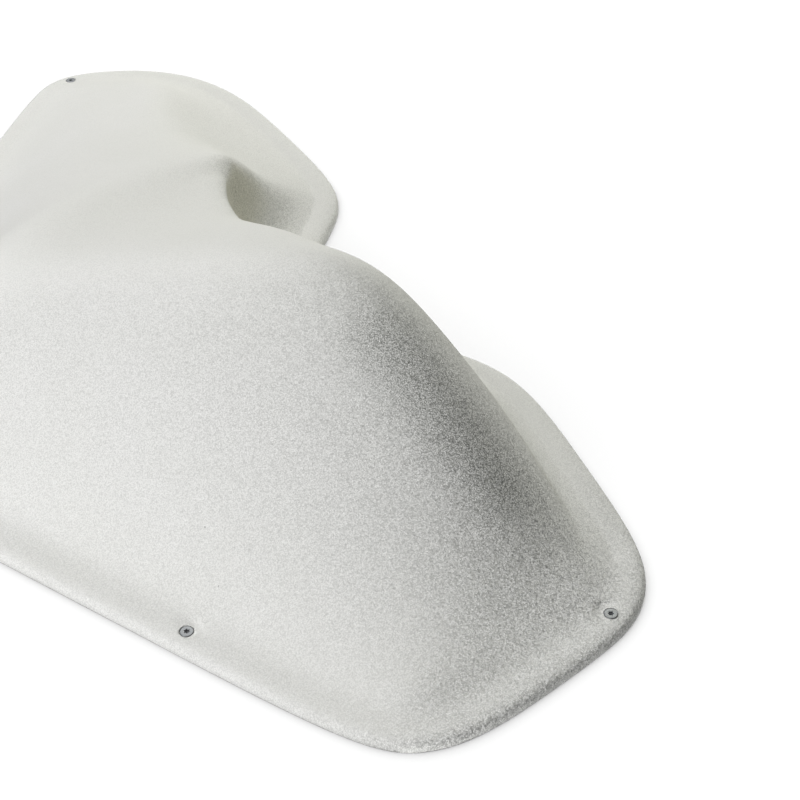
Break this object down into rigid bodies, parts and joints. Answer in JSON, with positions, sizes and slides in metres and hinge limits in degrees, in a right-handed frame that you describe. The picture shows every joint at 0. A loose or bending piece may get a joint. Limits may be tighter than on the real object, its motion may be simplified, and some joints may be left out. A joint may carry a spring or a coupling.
{
  "type": "jug climbing hold",
  "caption": "Broad jug hold for a climbing wall: a hollow moulded shell with a flange, a swelling mound and a deep notch whose steep face the hand hooks behind, fixed by countersunk screws.",
  "frame": {"origin": "on the back face of the flange, in line with the screws, at the bottom of the notch", "axes": "+Z out of the wall, +Y up the wall from the pointed bottom corner towards the notch, +X to the right of someone who faces the hold"},
  "size_m": [1.0069, 0.5719, 0.1959],
  "materials": {
    "textured_laminate": "off-white sprayed grit coat on glass-fibre laminate",
    "zinc_plated_steel": "zinc-plated steel"
  },
  "bodies": {
    "root": {"shell": "textured_laminate", "screw_bottom": "zinc_plated_steel", "screw_lower_right": "zinc_plated_steel", "screw_upper_right": "zinc_plated_steel", "screw_notch_right": "zinc_plated_steel", "screw_notch_left": "zinc_plated_steel", "screw_left_tip": "zinc_plated_steel", "screw_lower_left": "zinc_plated_steel"}
  },
  "joints": []
}
